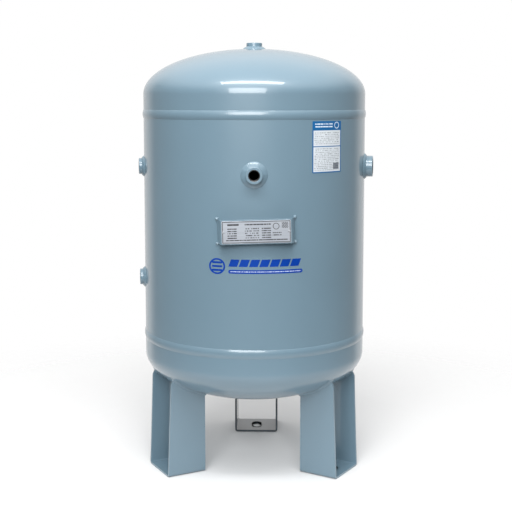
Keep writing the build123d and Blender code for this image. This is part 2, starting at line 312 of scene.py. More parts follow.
def on_shell(azimuth, height, stand_off):
    """Points stand_off outside the shell: (r sin a, -r cos a, z), r the radius there."""
    radius = shell_radius + stand_off
    x, y = radius * np.sin(azimuth), -radius * np.cos(azimuth)
    return np.stack(np.broadcast_arrays(x, y, height), -1)


half_columns = 120
column_turn = pi / half_columns
block_turn = 5 * column_turn
hole_block = 31 * mm
shell_holes = []
upper_height = mounts["front_port"]["pos_m"][2]
lower_height = mounts["left_lower_port"]["pos_m"][2]
for port in ("front_port", "left_upper_port", "left_lower_port", "right_port"):
    x, y, _ = mounts[port]["axis"]
    azimuth = np.arctan2(x, -y)
    middle = column_turn * round(azimuth / column_turn)
    level = lower_height if port == "left_lower_port" else upper_height
    radius = one_inch_hole if port == "right_port" else half_inch_hole
    shell_holes.append((middle - block_turn, middle + block_turn,
                        level - hole_block, level + hole_block,
                        round_hole(azimuth, mounts[port]["pos_m"][2], radius)))
levels = [shell_low.z, lower_height - hole_block, lower_height + hole_block,
          upper_height - hole_block, upper_height + hole_block, shell_high.z]
shell_levels = np.unique(np.concatenate(
    [np.linspace(low, high, 11) for low, high in zip(levels, levels[1:])]))
shell_columns = column_turn * np.arange(-half_columns, half_columns + 1)
grid, faces = pierced_grid(shell_columns, shell_levels, shell_holes)
skins = [on_shell(grid[:, 0], grid[:, 1], rise) for rise in (0.0, -plate)]
points, faces, _ = thick_plate(faces, *skins, grid)
tank_tone = tone(106, 130, 144)
tank_enamel = enamel("tank_enamel", tank_tone, 0.34, 0.5)
dress(put_piece("rolled_shell", points, faces), "shell", "shell_paint", tank_enamel)

# --------------------------------------
# Heads: two dished ends pressed from the same plate, each a half-ellipse crown with a
# straight rim and a bored hole for its socket, welded to the ends of the shell.
root_gap = 2 * mm
skirt = 39.5 * mm
head_depth = 91 * mm
upper_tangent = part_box("top_head")[0].z - root_gap / 2 + skirt
lower_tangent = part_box("bottom_head")[1].z + root_gap / 2 - skirt
head_columns = 240
upward = np.array([0.0, 0.0, 1.0])


def upright_seat(height, way):
    """A seat on the tank's axis: its origin, two level directions and the way out."""
    return np.array([0, 0, height]), np.array([1.0, 0, 0]), np.array([0, 1.0, 0]), way * upward


def turns(columns):
    """The angle of each column round a full turn, as a row."""
    return np.arange(columns)[None, :] * tau / columns


def turned(seat, radius, height, columns):
    """A shape turned round a seat's line: origin + radius (cos t right + sin t up) + height out.
    radius and height have a row for each point of the profile."""
    origin, right, up, out = seat
    turn = turns(columns)[0, :, None]
    radius = radius.reshape(len(radius), -1, 1)
    height = height.reshape(len(height), -1, 1)
    circle = np.cos(turn) * right + np.sin(turn) * up
    return origin + radius * circle + height * out


def crown(radius, depth, start):
    """A half-ellipse crown's profile, from the hole's edge down to the rim."""
    lean = np.linspace(asin(start / radius), pi / 2, 48)
    return np.stack([radius * np.sin(lean), depth * np.cos(lean)], -1)


rim_levels = np.linspace(0, root_gap / 2 - skirt, 9)[1:]
outside = crown(shell_radius, head_depth, half_inch_hole)
inside = crown(shell_radius - plate, head_depth - plate, half_inch_hole)[::-1]
outer_rim = np.stack([0 * rim_levels + shell_radius, rim_levels], -1)
inner_rim = np.stack([0 * rim_levels + shell_radius - plate, rim_levels], -1)[::-1]
head_profile = np.concatenate([outside, outer_rim, inner_rim, inside])
for name, node, tangent, way in (("top_dished_head", "top_head", upper_tangent, 1),
                                 ("bottom_dished_head", "bottom_head", lower_tangent, -1)):
    points = turned(upright_seat(tangent, way), head_profile[:, 0], head_profile[:, 1],
                    head_columns)
    head = put_piece(name, points, loop_faces(*points.shape[:2]))
    dress(head, node, "shell_paint", tank_enamel)

# --------------------------------------
# Seam welds: a low arched bead round each end of the shell, laid by a machine as the tank
# turned, and a narrower one up the back where the rolled plate meets. All painted over.
bead_half = 9 * mm
bead_rise = 2 * mm
ripple_count = 330
ripple_depth = 0.05 * mm
ripple_columns = 7
toe_sink = 0.5 * mm
bead_overlap = 1 * mm


def wander(turn, *waves):
    """A slow drift round a loop, from -1 to 1: the mean of a few sines with whole counts."""
    return sum(np.sin(count * turn + lag) for count, lag in waves) / len(waves)


weld_enamel = enamel("weld_enamel", tank_tone, 0.36, 0.6)
cap_radius = (bead_half**2 + bead_rise**2) / (2 * bead_rise)
across = bead_half * np.linspace(-1, 1, 17)[:, None]
upper_seam = shell_high.z + root_gap / 2
lower_seam = shell_low.z - root_gap / 2
for name, node, height, lag in (("top_girth_bead", "top_seam_weld", upper_seam, 0.0),
                                ("bottom_girth_bead", "bottom_seam_weld", lower_seam, 2.0)):
    columns = ripple_columns * ripple_count
    turn = turns(columns)
    arch = np.sqrt(cap_radius**2 - across**2) - (cap_radius - bead_rise)
    drift = wander(turn, (7, lag), (16, 1 + lag), (41, 2.2))
    crescent = ripple_count * turn + 2.2 * (across / bead_half) ** 2
    ripple = ripple_depth * (0.5 + 0.5 * np.cos(crescent)) * arch / bead_rise
    radius = shell_radius + arch * (0.96 + 0.04 * drift) - ripple
    level = across * (0.975 + 0.025 * wander(turn, (11, lag), (23, 0.4)))
    sunk = shell_radius - toe_sink
    toes = ((sunk, bead_half), (sunk, root_gap / 2), (shell_radius - plate, root_gap / 2),
            (shell_radius - plate, -root_gap / 2), (sunk, -root_gap / 2), (sunk, -bead_half))
    toes = np.array(toes)[..., None] + 0 * turn
    radius = np.concatenate([radius, toes[:, 0]])
    level = np.concatenate([level, toes[:, 1]])
    points = turned(upright_seat(height, 1), radius, level, columns)
    dress(put_piece(name, points, loop_faces(*points.shape[:2])), node, "weld_paint", weld_enamel)

long_azimuth = radians(150)
long_half = 5 * mm
long_rise = 1.5 * mm
long_pitch = 2.6 * mm
bead_low = lower_seam + bead_half - bead_overlap
bead_high = upper_seam - bead_half + bead_overlap
grid, faces = pierced_grid(np.linspace(-1, 1, 15), np.arange(bead_low, bead_high, long_pitch / 6))
side, height = grid.T
phase = tau * height / long_pitch - 2.4 * side**2
arch = long_rise * (1 - side**2) ** 0.6
rise = arch * (0.95 - 0.05 * np.cos(phase) + 0.03 * wander(height * 60, (1, 0), (2.3, 1), (5.1, 2)))
turn = long_azimuth + side * long_half / shell_radius
points, faces, _ = thick_plate(faces, on_shell(turn, height, rise - 0.05 * mm),
                               on_shell(turn, height, -1 * mm), grid)
dress(put_piece("long_seam_bead", points, faces), "shell_seam_weld", "weld_paint", weld_enamel)

# --------------------------------------
# Backing rings: strips of bare steel behind the two girth seams, tacked inside before the
# heads went on. They can only be seen through a socket, so the CAD solids stay.
def bare_steel(name, base, roughness):
    """Cut steel under a film of oil: grey with brown and dark patches, finely scratched."""
    finish = Finish(name)
    patches = finish.ramp(finish.noise(60, 4.0, 0.6), 0.35, 0.7)
    colour = finish.blend(patches, base, scaled(base, 0.62))
    rusty = finish.ramp(finish.noise(120, 5.0, 0.7), 0.6, 0.75)
    colour = finish.blend(rusty * 0.35, colour, tone(104, 78, 60))
    scratches = finish.noise(1500, 2.0)
    return finish.surface(Base_Color=colour, Metallic=0.9 - 0.5 * rusty,
                          Roughness=roughness + 0.15 * patches,
                          Normal=finish.bump(scratches, 0.03 * mm, 0.6))


ring_steel = bare_steel("ring_steel", tone(128, 128, 130), 0.42)
for node in ("top_backing_ring", "bottom_backing_ring"):
    ring = frame["nodes"][node]
    ring.data.materials.clear()
    ring.data.materials.append(ring_steel.material)

# --------------------------------------
# Sockets: half couplings turned from round bar, with a broken outer corner, a countersunk
# mouth and a parallel pipe thread, set into their holes and welded. Plugged while painted,
# so that the thread is bare. The thread and the mouth get a dark bare steel, darkened
# further as painted shade of the bore.
socket_reach = 10 * mm
socket_edge = 0.8 * mm
socket_columns = 96
socket_cuts = mm * np.array([0.4, 0.25, 0.25, 0.35])
mouth_rows = 4
rows_per_pitch = 9
thread_depth = 0.64
half_inch = {"outer": 16 * mm, "bore": 9.3155 * mm, "mouth": 11 * mm, "pitch": 1.8143 * mm}
one_inch = {"outer": 21 * mm, "bore": 15.1455 * mm, "mouth": 17.2 * mm, "pitch": 2.3091 * mm}
sockets = {
    "top_port": (half_inch, 12 * mm, 8.0 * mm),
    "front_port": (half_inch, 14 * mm, 9.5 * mm),
    "left_upper_port": (half_inch, 10.5 * mm, 5.5 * mm),
    "left_lower_port": (half_inch, 10.5 * mm, 5.5 * mm),
    "right_port": (one_inch, 17 * mm, 5.5 * mm),
    "drain_port": (half_inch, 12 * mm, 6.5 * mm),
}


def softened(corners, cuts, steps=4):
    """The inner corners of a path of (x, y) points, each rounded: from cut before the corner to
    cut after it the path follows (1-t)^2 a + 2t(1-t) corner + t^2 b, with a point at 1.7 cuts on
    each side to keep the flats flat."""
    corners = np.asarray(corners, float)
    cuts = np.broadcast_to(cuts, len(corners) - 2)[:, None]
    before, at, after = corners[:-2], corners[1:-1], corners[2:]
    back = (before - at) / np.linalg.norm(before - at, axis=1, keepdims=True)
    forth = (after - at) / np.linalg.norm(after - at, axis=1, keepdims=True)
    t = np.linspace(0, 1, steps + 1)[None, :, None]
    start, end = (at + cuts * back)[:, None], (at + cuts * forth)[:, None]
    bend = (1 - t) ** 2 * start + 2 * t * (1 - t) * at[:, None] + t**2 * end
    holds = (at + 1.7 * cuts * back)[:, None], (at + 1.7 * cuts * forth)[:, None]
    return np.concatenate([holds[0], bend, holds[1]], 1).reshape(-1, 2)


def port_seat(name):
    """A socket's seat: where its line leaves the vessel, level right, up, and the way out."""
    out = np.array(mounts[name]["axis"], float)
    if abs(out[2]) > 0.5:
        tangent = upper_tangent if out[2] > 0 else lower_tangent
        return upright_seat(tangent + out[2] * head_depth, out[2])
    origin = out * shell_radius + upward * mounts[name]["pos_m"][2]
    return origin, np.cross(upward, out), upward, out


socket_enamel = enamel("socket_enamel", tank_tone, 0.36, 0.7)
# Bare thread steel in a darker tone than the ring steel: partly painted shade inside the bore.
thread_steel = bare_steel("thread_steel", tone(92, 90, 90), 0.4)
for name, (size, stand_out, _) in sockets.items():
    outer, bore, mouth, pitch = size["outer"], size["bore"], size["mouth"], size["pitch"]
    entry = stand_out - (mouth - bore)
    corners = [(bore, -socket_reach), (outer, -socket_reach), (outer, stand_out - socket_edge),
               (outer - socket_edge, stand_out), (mouth, stand_out), (bore, entry)]
    bar = np.concatenate([corners[:1], softened(corners, socket_cuts), corners[-1:]])
    turn = turns(socket_columns)
    depth_rows = int((entry + socket_reach) / pitch * rows_per_pitch)
    depths = np.linspace(entry, -socket_reach, depth_rows)[1:-1, None]
    fade = np.clip((entry - depths) / pitch, 0, 1) * np.clip((depths + socket_reach) / pitch, 0, 1)
    groove = thread_depth * pitch * fade * (0.5 - 0.5 * np.cos(tau * depths / pitch + turn))
    radius = np.concatenate([bar[:, :1] + 0 * turn, bore + groove])
    height = np.concatenate([bar[:, 1:] + 0 * turn, depths + 0 * turn])
    points = turned(port_seat(name), radius, height, socket_columns)
    # The mouth and thread faces take the dark steel, partly painted shade.
    bare_and_shaded = np.repeat(np.arange(len(radius)) >= len(bar) - mouth_rows, socket_columns)
    socket = put_piece(f"{name}_socket", points, loop_faces(*points.shape[:2]), second=bare_and_shaded)
    dress(socket, name, "socket_paint", socket_enamel, thread_steel)

# --------------------------------------
# Socket welds: a full fillet run by hand round each socket, slightly convex, its toe lying
# on the curve of the shell or head, with the scales of the run showing under the paint.
fillet_rise = 5.5 * mm
fillet_sink = 1 * mm
scale_width = 3.4 * mm
scale_columns = 9


def vessel_drop(name, radius, turn):
    """How far the vessel falls away behind a socket's seat at a radius from its line."""
    if abs(mounts[name]["axis"][2]) > 0.5:
        return head_depth * (1 - np.sqrt(1 - (radius / shell_radius) ** 2))
    return shell_radius - np.sqrt(shell_radius**2 - (radius * np.cos(turn)) ** 2)


def fillet_arc(rows, out, up):
    """A fillet's face from its top (0, 1) to its toe (1, 0), by way of (out, up): the curve
    (1-t)^2 top + 2t(1-t) way + t^2 toe. Gives t, and the two shares of the fillet's leg."""
    t = np.linspace(0, 1, rows)[:, None]
    return t, 2 * t * (1 - t) * out + t**2, (1 - t) ** 2 + 2 * t * (1 - t) * up


t, fillet_out, fillet_up = fillet_arc(15, 0.66, 0.62)
for order, (name, (size, _, leg)) in enumerate(sockets.items()):
    outer = size["outer"]
    scales = int(tau * (outer + leg / 2) / scale_width)
    columns = scale_columns * scales
    turn = turns(columns)
    phase = scales * turn + 2.0 * (2 * t - 1) ** 2 + 0.7 * wander(turn, (3, order), (7, 1.0))
    overlap = (0.5 + 0.5 * np.cos(phase)) * np.sin(pi * t) ** 0.8
    reach = leg * fillet_out * (0.97 + 0.03 * wander(turn, (4, order), (9, 2.0), (17, 0.5)))
    radius = outer + reach - 0.12 * mm * overlap
    height = fillet_rise * fillet_up * (0.96 + 0.04 * wander(turn, (5, 1 + order), (12, 0.3)))
    height = height - 0.14 * mm * overlap - vessel_drop(name, radius, turn)
    root = np.array([[outer + 0.97 * leg], [outer - 0.5 * mm], [outer - 0.5 * mm]]) + 0 * turn
    depth = np.array([[-fillet_sink], [-fillet_sink], [fillet_rise - 0.6 * mm]])
    depth = depth - vessel_drop(name, root, turn)
    radius = np.concatenate([radius, root])
    height = np.concatenate([height, depth])
    points = turned(port_seat(name), radius, height, columns)
    bead = put_piece(f"{name}_fillet", points, loop_faces(*points.shape[:2]), crease=60)
    dress(bead, f"{name}_weld", "weld_paint", weld_enamel)

# --------------------------------------
# Legs: each folded from 4 mm flat bar into a U, with a slot for its anchor bolt in the
# foot. The walls' tops are cut to the bottom head, and their outer corners clipped. The
# rear leg is given a much darker grey than the rest of the tank's enamel: painted shade,
# for the shade it stands in behind and under the tank.
leg_half = 47.5 * mm
leg_plate = 4 * mm
leg_bend = 6 * mm
leg_outer = shell_radius - 8 * mm
leg_inner = leg_outer - 80 * mm
leg_taper = 7 * mm
leg_clip = 5 * mm
leg_clip_drop = 10 * mm
leg_edge_top = leg_outer - leg_taper
leg_middle = (leg_outer + leg_inner) / 2
path_middle = 2.5
slot_half_length = 21 * mm
slot_half_width = 11 * mm


def head_height(radius):
    """Height of the bottom head's outside: tangent - depth sqrt(1 - (r / R)^2)."""
    return lower_tangent - head_depth * np.sqrt(1 - np.minimum(radius / shell_radius, 1) ** 2)


def leg_skin(path, reach, inset):
    """One skin of a leg. path runs 0 to 5 from wall top over fold, foot and fold to wall top,
    and reach is the distance from the tank's axis at the foot. The foot is level, a fold is a
    quarter circle, and a wall goes straight up to the head's underside or to its clipped corner,
    its outer edge leaning in by leg_taper on the way."""
    half = np.abs(path - path_middle)
    climb = np.clip(half - 1.5, 0, 1)
    lean_in = leg_taper / (leg_outer - leg_inner)
    reach = leg_inner + (reach - leg_inner) * (1 - lean_in * climb)
    flat = leg_half - leg_bend
    lean = np.clip(half - 0.5, 0, 1) * pi / 2
    side = np.minimum(half / 0.5, 1) * flat + (leg_bend - inset) * np.sin(lean)
    floor = leg_bend - (leg_bend - inset) * np.cos(lean)
    clip = head_height(hypot(leg_edge_top - leg_clip, leg_half))
    clip = clip - np.maximum(reach - (leg_edge_top - leg_clip), 0) * leg_clip_drop / leg_clip
    top = np.minimum(head_height(np.hypot(reach, side)), clip)
    height = floor + climb * (top - leg_bend)
    return reach, np.sign(path - path_middle) * side, height


def slot_outline(share):
    """The anchor slot in the foot: two half circles joined by straight sides."""
    straight = slot_half_length - slot_half_width
    half_turn = pi * slot_half_width
    length = np.mod(share, 1) * (2 * half_turn + 4 * straight)
    end = np.mod(length + half_turn / 2, half_turn + 2 * straight)
    far = np.where(np.mod(length + half_turn / 2, 2 * half_turn + 4 * straight)
                   < half_turn + 2 * straight, 1, -1)
    angle = np.minimum(end / slot_half_width, pi) - pi / 2
    slide = np.maximum(end - half_turn, 0)
    along = far * (straight - slide + slot_half_width * np.cos(angle))
    wide = far * slot_half_width * np.sin(angle)
    return np.stack([path_middle - 0.5 * wide / (leg_half - leg_bend), leg_middle + along], -1)


def leg_place(azimuth, reach, side, height):
    """Points at a distance from the axis along an azimuth, and to its side."""
    return np.stack([reach * sin(azimuth) + side * cos(azimuth),
                     -reach * cos(azimuth) + side * sin(azimuth), height], -1)


def nearest(lines, value):
    """The grid line that lies nearest to a value."""
    return lines[np.abs(lines - value).argmin()]


leg_tone = tone(101, 125, 139)
leg_scuffs = 5 * mm
leg_enamel = enamel("leg_enamel", leg_tone, 0.4, 0.9, leg_scuffs)
# A darker copy of the leg enamel for the rear leg: painted shade.
shaded_rear_enamel = enamel("rear_leg_enamel", tone(58, 68, 76), 0.5, 0.9, leg_scuffs)
block_side = 17 * mm
block_reach = 28 * mm
block_path = 0.5 * block_side / (leg_half - leg_bend)
block_low = path_middle - block_path
block_high = path_middle + block_path
paths = np.unique(np.concatenate([
    np.linspace(0, 1, 13), np.linspace(1, 2, 9), np.linspace(2, block_low, 5),
    np.linspace(block_low, block_high, 9), np.linspace(block_high, 3, 5),
    np.linspace(3, 4, 9), np.linspace(4, 5, 13)]).round(9))
reaches = np.unique(np.concatenate([
    np.linspace(leg_inner, leg_middle - block_reach, 5),
    np.linspace(leg_middle - block_reach, leg_middle + block_reach, 13),
    np.linspace(leg_middle + block_reach, leg_outer - leg_clip, 3),
    [leg_outer - leg_clip, leg_outer]]).round(9))
slot_block = (nearest(paths, block_low), nearest(paths, block_high),
              nearest(reaches, leg_middle - block_reach),
              nearest(reaches, leg_middle + block_reach), slot_outline)
legs = {"front_left_leg": radians(-61.7), "front_right_leg": radians(58.3),
        "rear_leg": radians(178.3)}
for name, azimuth in legs.items():
    grid, faces = pierced_grid(paths, reaches, [slot_block])
    skins = [leg_place(azimuth, *leg_skin(*grid.T, inset)) for inset in (0.0, leg_plate)]
    points, faces, _ = thick_plate(faces, *skins, grid)
    leg = put_piece(f"{name}_bar", points, faces)
    break_edges(leg, 0.5 * mm, 40)
    dress(leg, name, "leg_paint", shaded_rear_enamel if name == "rear_leg" else leg_enamel)

# --------------------------------------
# Leg welds: a hand-run fillet on both faces of each wall and round its two ends, where the
# wall's top meets the bottom head. Rougher than the machine's beads, and painted over.
weld_leg = 5 * mm
weld_scale = 3.6 * mm
weld_ripple = 0.25 * mm
wall_columns = 480
end_share = 4
leg_weld_enamel = enamel("leg_weld_enamel", leg_tone, 0.4, 1.2)


def round_wall(columns):
    """A loop round a wall's top, two straights and two half circles: the slide along the wall,
    the outward direction and the length run, in which an end counts end_share times over so
    that it gets enough columns."""
    share = np.arange(columns) / columns
    half_length = (leg_edge_top - leg_clip - leg_inner) / 2 - leg_plate / 2
    ring = pi * leg_plate / 2 * end_share
    run = share * (4 * half_length + ring)
    knots = np.cumsum([0, 2 * half_length, ring / 2, 2 * half_length, ring / 2])
    angle = np.interp(run, knots, [0, 0, pi, pi, tau]) - pi / 2
    slide = np.interp(run, knots, half_length * np.array([-1, 1, 1, -1, -1]))
    outward = np.stack([np.cos(angle), np.sin(angle)], -1)
    return slide, outward, run


t, fillet_out, fillet_up = fillet_arc(13, 0.6, 0.6)
turn = turns(wall_columns)
for order, (name, azimuth) in enumerate(legs.items()):
    beads = []
    for side in (-1, 1):
        slide, outward, run = round_wall(wall_columns)
        lag = 2 * order + side
        phase = tau * run / weld_scale + 2.2 * (2 * t - 1) ** 2 + wander(turn, (5, lag), (11, 1.0))
        overlap = (0.5 + 0.5 * np.cos(phase)) * np.sin(pi * t)
        swell = 0.92 + 0.08 * wander(turn, (7, lag), (15, 0.4), (26, 1.7))
        away = weld_leg * fillet_out * swell - weld_ripple * overlap + leg_plate / 2
        below = weld_leg * fillet_up * swell - weld_ripple * overlap
        root_away = np.array([[leg_plate / 2 + 0.9 * weld_leg], [1.4 * mm], [1.4 * mm]])
        root_below = np.array([[-fillet_sink], [-fillet_sink], [0.85 * weld_leg]])
        away = np.concatenate([away, root_away + 0 * turn])
        below = np.concatenate([below, root_below + 0 * turn])
        middle = (leg_edge_top - leg_clip + leg_inner) / 2
        reach = middle + slide + outward[:, 0] * away
        across = side * (leg_half - leg_plate / 2) + outward[:, 1] * away
        height = head_height(np.hypot(reach, across)) - below
        points = leg_place(azimuth, reach, across, height)
        beads.append((points.reshape(-1, 3), loop_faces(*points.shape[:2])))
    dress(put_piece(f"{name}_fillets", *joined(beads), crease=60), f"{name}_weld", "weld_paint",
          leg_weld_enamel)

# --------------------------------------
# Nameplate bracket: a shallow hat folded from 1.5 mm sheet, its splayed flanges cut to the
# shell and tacked there at the four corners, a little out of level.
plate_azimuth = radians(1.0)
plate_height = upper_height - 103 * mm
plate_tilt = radians(1.4)
stand_off = 12 * mm
sheet = 1.5 * mm
bracket_half = 65.75 * mm
bracket_splay = 6.5 * mm
bracket_tall = 23 * mm
foot_sink = 1.2 * mm


def side_seat(azimuth, height, tilt=0.0):
    """A seat that touches the shell, its level direction turned up by tilt."""
    out = np.array([sin(azimuth), -cos(azimuth), 0.0])
    level = np.array([cos(azimuth), sin(azimuth), 0.0])
    return (out * shell_radius + upward * height, cos(tilt) * level + sin(tilt) * upward,
            cos(tilt) * upward - sin(tilt) * level, out)


def on_seat(seat, x, y, out):
    """Points at x and y on a seat, and out from it."""
    spots = np.broadcast_arrays(x, y, out)
    return seat[0] + sum(spot[..., None] * way for spot, way in zip(spots, seat[1:]))


plate_seat = side_seat(plate_azimuth, plate_height, plate_tilt)
foot_x = bracket_half + bracket_splay
foot_fall = shell_radius - sqrt(shell_radius**2 - foot_x**2)
slope = np.array([bracket_splay, -stand_off - foot_fall])
slope = slope / np.linalg.norm(slope)
foot = np.array([foot_x, -foot_fall]) + foot_sink * slope
inward = sheet * np.array([slope[1], -slope[0]])
corner = np.array([bracket_half, stand_off])
inner_corner = corner + inward
inner_corner = inner_corner + slope * (inner_corner[1] - stand_off + sheet) / -slope[1]
mirror = np.array([-1, 1])
skins = []
for knee, end, bend in ((corner, foot, 2.2 * mm), (inner_corner, foot + inward, 0.9 * mm)):
    corners = np.array([mirror * end, mirror * knee, knee, end])
    skins.append(np.concatenate([corners[:1], softened(corners, bend, 6), corners[-1:]]))
rows = np.linspace(-bracket_tall, bracket_tall, 9)
grid, faces = pierced_grid(np.arange(len(skins[0])), rows)
spot = grid[:, 0].astype(int)
skins = [on_seat(plate_seat, skin[spot, 0], grid[:, 1], skin[spot, 1]) for skin in skins]
points, faces, _ = thick_plate(faces, *skins, grid)
bracket_enamel = enamel("bracket_enamel", tank_tone, 0.38, 0.6)
bracket = put_piece("nameplate_hat", points, faces)
break_edges(bracket, 0.25 * mm, 50)
dress(bracket, "nameplate_bracket", "bracket_paint", bracket_enamel)

# Tacks: four short blobs of weld that hold the bracket's corners to the shell.
tack_radius = 3.9 * mm
lean = np.linspace(0, pi, 17)[:, None]
turn = turns(28)
tacks = []
for order, (way_x, way_y) in enumerate(((-1, -1), (1, -1), (1, 1), (-1, 1))):
    lumpy = tack_radius * (0.93 + 0.07 * np.sin(3 * turn + order) * np.sin(2 * lean + order))
    x = way_x * foot_x + lumpy * np.sin(lean) * np.cos(turn)
    y = way_y * bracket_tall + lumpy * np.sin(lean) * np.sin(turn)
    out = -foot_fall + lumpy * np.cos(lean)
    points = on_seat(plate_seat, x, y, out)
    tacks.append((points.reshape(-1, 3), loop_faces(*points.shape[:2], False)))
dress(put_piece("nameplate_tacks", *joined(tacks)), "nameplate_bracket_welds", "weld_paint",
      weld_enamel)

# --------------------------------------
# Nameplate: a 1 mm aluminium plate, brushed and anodised, printed in black with a border
# and rows of marks. The marks are plain bars, a ring and a square grid, and say nothing.
plate_width = 127.5 * mm
plate_tall = 42 * mm
plate_thick = 1 * mm
plate_corner = 2 * mm


def rounded_sheet(width, height, corner, across, up, slant=0.0):
    """A grid over a rounded rectangle: a row at height y is as wide as the outline is there,
    w/2 - c + sqrt(c^2 - s^2), s being how far y is into the corner. slant leans it over."""
    straight = height / 2 - corner
    ends = straight + corner * np.sin(np.linspace(0, pi / 2, 6))
    rows = np.unique(np.concatenate([-ends, np.linspace(-straight, straight, up + 1), ends]).round(8))
    grid, faces = pierced_grid(np.linspace(-1, 1, across + 1), rows)
    share, y = grid.T
    into = np.clip(np.abs(y) - straight, 0, corner)
    half = width / 2 - corner + np.sqrt(corner**2 - into**2)
    x = share * half + slant * (y / height + 0.5)
    return x, y, faces


class Print(Finish):
    """A finish with marks printed on it, placed in millimetres from the print's middle."""

    def __init__(self, name, width, height):
        super().__init__(name)
        spot = self.add("UVMap", {"uv_map": "print"})
        self.x = (self.add("SeparateXYZ", {}, {0: spot}, out="X") - 0.5) * (width / mm)
        self.y = (self.add("SeparateXYZ", {}, {0: spot}, out="Y") - 0.5) * (height / mm)

    def band(self, value, low, high, soft=0.12):
        """1 between low and high, 0 outside."""
        over = self.ramp(value, high - soft, high + soft)
        return self.ramp(value, low - soft, low + soft) * (1 - over)

    def box(self, left, right, low, high):
        """1 inside a rectangle."""
        return self.band(self.x, left, right) * self.band(self.y, low, high)

    def ring(self, x, y, radius, line):
        """A circle's line."""
        away = self.math("SQRT", (self.x - x) * (self.x - x) + (self.y - y) * (self.y - y))
        return self.band(away, radius - line, radius)

    def rows(self, left, right, low, high, pitch, fill=0.42, seed=0.0):
        """Rows of short dashes with gaps of uneven length, as small print looks from afar."""
        row = self.math("FLOOR", (self.y - low) / pitch)
        rise = self.math("FRACT", (self.y - low) / pitch)
        spot = self.add("CombineXYZ", {}, {0: self.x * 0.62, 1: row * 3.71 + seed})
        words = self.add("TexNoise", {"noise_dimensions": "2D"}, {"Vector": spot, "Scale": 1.0,
                                                                  "Detail": 1.0})
        dashes = self.ramp(words, fill - 0.03, fill + 0.03)
        return self.box(left, right, low, high) * self.band(rise, 0.28, 0.74, 0.06) * dashes

    def either(self, *masks):
        """The union of some masks."""
        total = masks[0]
        for mask in masks[1:]:
            total = self.math("MAXIMUM", total, mask)
        return total


printed = Print("printed_aluminium", plate_width, plate_tall)
border = printed.box(-62.6, 62.6, -19.8, 19.8) - printed.box(-61.4, 61.4, -18.6, 18.6)
squares = printed.add("TexChecker", {}, {"Vector": printed.add("CombineXYZ", {}, {
    0: printed.x + 0.5, 1: printed.y + 0.5}), "Color1": (1, 1, 1, 1), "Color2": (0, 0, 0, 1),
    "Scale": 0.62}, out="Fac")
marks = printed.either(
    border,
    printed.rows(-53, -32, 10.4, 17.4, 7.0, 0.30, 2.0),
    printed.rows(-22, 27, 11.4, 16.4, 5.0, 0.38),
    printed.rows(-53, -36, -12.6, 8.4, 4.2, 0.36, 11.0),
    printed.rows(-21, 5, -12.6, 8.4, 4.2, 0.50, 19.0),
    printed.rows(10, 27, -12.6, 8.4, 4.2, 0.36, 23.0),
    printed.rows(30, 46, -8.4, 0.0, 4.2, 0.42, 31.0),
    printed.rows(-56, 57, -16.8, -12.8, 4.0, 0.36, 47.0),
    printed.ring(36.5, 9.9, 6.0, 1.1),
    printed.box(47, 58.5, 6.4, 17.4) * squares,
)
grain = printed.noise(420, 3.0, 0.6, (0.03, 1, 1))
smudge = printed.noise(40, 3.0, 0.6)
silver = printed.blend(grain, tone(176, 182, 192), tone(205, 211, 219))
printed.surface(
    Base_Color=printed.blend(marks * 0.97, silver, tone(14, 15, 18)),
    Metallic=0.7 - 0.7 * marks,
    Roughness=0.38 + 0.12 * (smudge - 0.5) + 0.1 * marks,
    Normal=printed.bump(grain, 0.02 * mm, 0.5),
)


def print_place(x, y, width, height):
    """Where a point on a print lies in it, from 0 to 1 each way."""
    return np.stack([x / width + 0.5, y / height + 0.5], -1)


x, y, faces = rounded_sheet(plate_width, plate_tall, plate_corner, 26, 10)
skins = [on_seat(plate_seat, x, y, stand_off + rise) for rise in (plate_thick, 0.0)]
points, faces, spots = thick_plate(faces, *skins, print_place(x, y, plate_width, plate_tall))
nameplate = put_piece("printed_nameplate", points, faces, print_map=spots)
break_edges(nameplate, 0.12 * mm, 50)
dress(nameplate, "nameplate", "nameplate_aluminium", printed)

# --------------------------------------
# Rivets: two small aluminium blind rivets through the nameplate's ends and the bracket,
# with a low domed head in front, hollow where the pin broke off, and a swelled tail.
rivet_x = 60.35 * mm
rivet_shank = 1.28
rivet_columns = 32
rivet_metal = Finish("rivet_aluminium")
dull = rivet_metal.noise(700, 3.0, 0.6)
rivet_metal.surface(
    Base_Color=rivet_metal.blend(dull, tone(150, 154, 160), tone(200, 204, 210)),
    Metallic=0.9, Roughness=0.32 + 0.2 * dull, Normal=rivet_metal.bump(dull, 0.02 * mm, 0.6))
face = stand_off + plate_thick
back = stand_off - sheet
corners = mm * np.array([(0, 0.2), (0.7, 0.2), (0.7, 0.85), (1.4, 0.85), (2.2, 0.3), (2.2, 0)])
dome = np.concatenate([corners[:1], softened(corners, 0.12 * mm), corners[-1:]])
corners = mm * np.array([(rivet_shank, 0), (2.2, 0), (2.2, 0.3), (1.6, 0.85), (0, 0.85)])
tail = np.concatenate([corners[:1], softened(corners, 0.12 * mm), corners[-1:]])
radius = np.concatenate([dome[:, 0], [rivet_shank * mm], tail[:, 0]])
height = np.concatenate([face + dome[:, 1], [face], back - tail[:, 1]])
rivets = []
for way in (-1, 1):
    seat = (plate_seat[0] + way * rivet_x * plate_seat[1], *plate_seat[1:])
    points = turned(seat, radius, height, rivet_columns)
    rivets.append((points.reshape(-1, 3), loop_faces(*points.shape[:2], False)))
rivet_pair = put_piece("nameplate_rivet_pair", *joined(rivets))
dress(rivet_pair, "nameplate_rivets", "rivet_aluminium", rivet_metal)

# --------------------------------------
# Instruction label: white film printed with a blue header and frame and rows of small grey
# marks, stuck to the shell just under the upper bead. The marks stand for print and say
# nothing.
film = 0.3 * mm
label_width = 71 * mm
label_tall = 96.5 * mm
label_azimuth = radians(37.8)
label_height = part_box("instruction_label")[0].z + label_tall / 2


